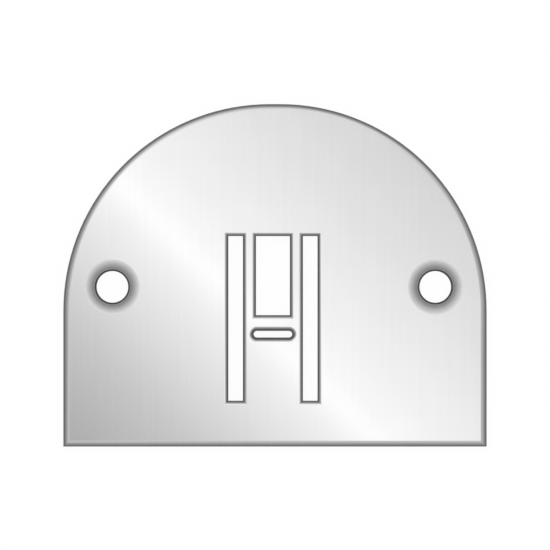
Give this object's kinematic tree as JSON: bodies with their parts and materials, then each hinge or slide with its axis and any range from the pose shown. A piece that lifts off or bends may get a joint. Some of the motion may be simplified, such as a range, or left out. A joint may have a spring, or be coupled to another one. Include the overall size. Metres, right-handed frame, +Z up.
{
  "type": "sewing machine needle plate",
  "caption": "Flat polished steel needle plate, straight in front and round behind, with countersunk screw holes, feed dog slots and a round-ended zigzag needle slot.",
  "frame": {"origin": "midway between the two screw holes, on the underside that rests on the machine's bed", "axes": "+X to the right of the person who sews, along the line of the screw holes; +Y to the rear, towards the round end; +Z up through the plate, out of the sewing face"},
  "size_m": [0.055, 0.0444, 0.002],
  "materials": {
    "plate_steel": "polished sewing face with rolled edges, duller inside the holes and slots"
  },
  "bodies": {
    "root": {"needle_plate": "plate_steel"}
  },
  "joints": []
}
